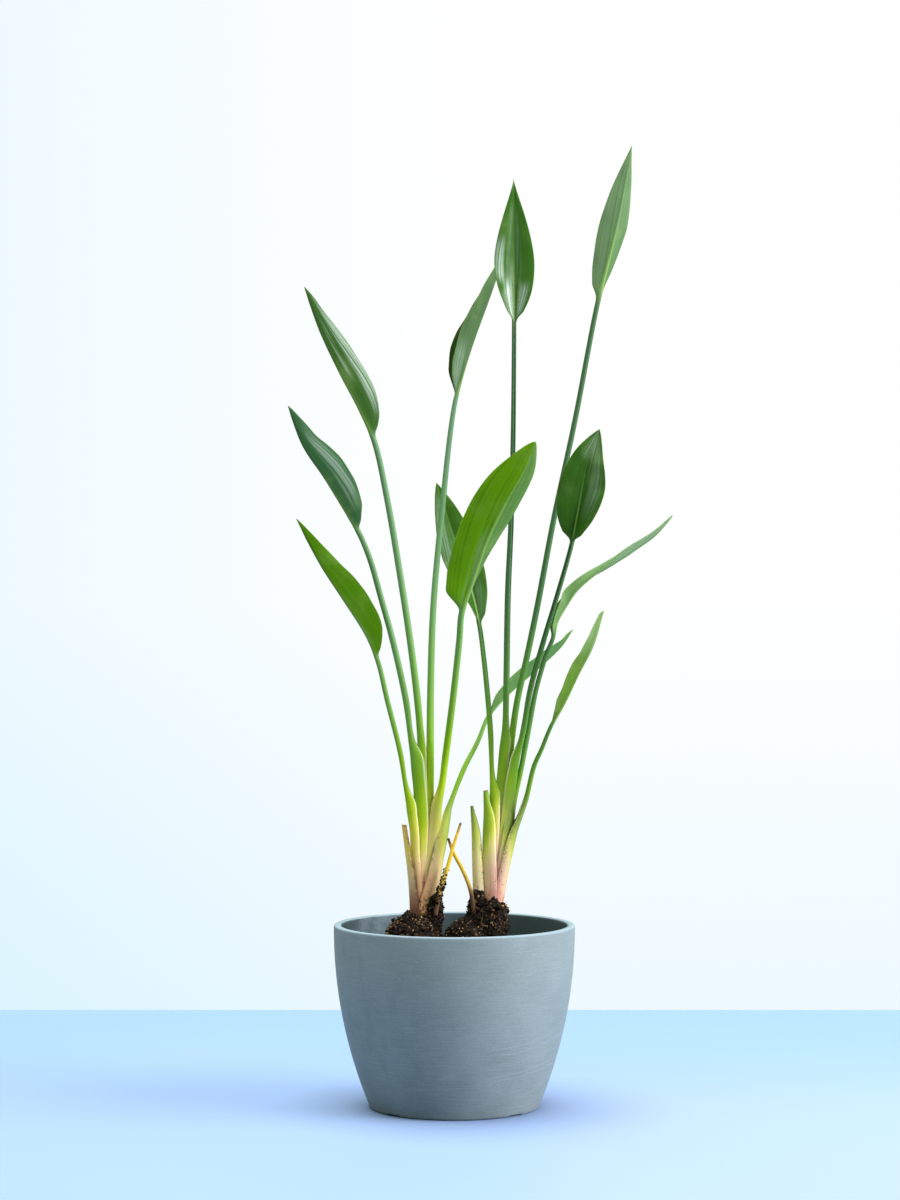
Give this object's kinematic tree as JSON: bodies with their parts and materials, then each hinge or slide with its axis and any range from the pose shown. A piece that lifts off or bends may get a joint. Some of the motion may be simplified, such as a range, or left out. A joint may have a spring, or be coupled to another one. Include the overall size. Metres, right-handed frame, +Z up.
{
  "type": "potted bird of paradise",
  "caption": "Potted bird of paradise: long upright green leaves with nested sheaths in two crowns, in soil in a plain tapering round plastic pot.",
  "frame": {"origin": "middle of the pot's flat base, on the surface it stands on", "axes": "+Z up along the pot's axis, +X to the right and -Y to the front as pictured"},
  "size_m": [0.3211, 0.2, 0.8018],
  "materials": {
    "pot": "matte blue-grey, worn pale at the rim",
    "soil": "rough moist potting soil with fibres and pale grains",
    "rhizome": "matte fleshy root",
    "leaf": "smooth waxy green, glossy on the upper face",
    "old_sheath": "matte cream with brown edges",
    "dry_sheath": "matte dried yellow"
  },
  "bodies": {
    "root": {"pot": "pot", "soil": "soil", "rhizome_left": "rhizome", "rhizome_right": "rhizome", "leaf_left_1": "leaf", "leaf_left_2": "leaf", "leaf_left_3": "leaf", "leaf_left_4": "leaf", "leaf_left_5": "leaf", "leaf_left_6": "leaf", "leaf_right_1": "leaf", "leaf_right_2": "leaf", "leaf_right_3": "leaf", "leaf_right_4": "leaf", "leaf_right_5": "leaf", "leaf_right_6": "leaf", "cut_leaf_right": "leaf", "old_sheath_left": "old_sheath", "old_sheath_right": "old_sheath", "dry_sheath_left": "dry_sheath", "dry_sheath_right": "dry_sheath"}
  },
  "joints": []
}
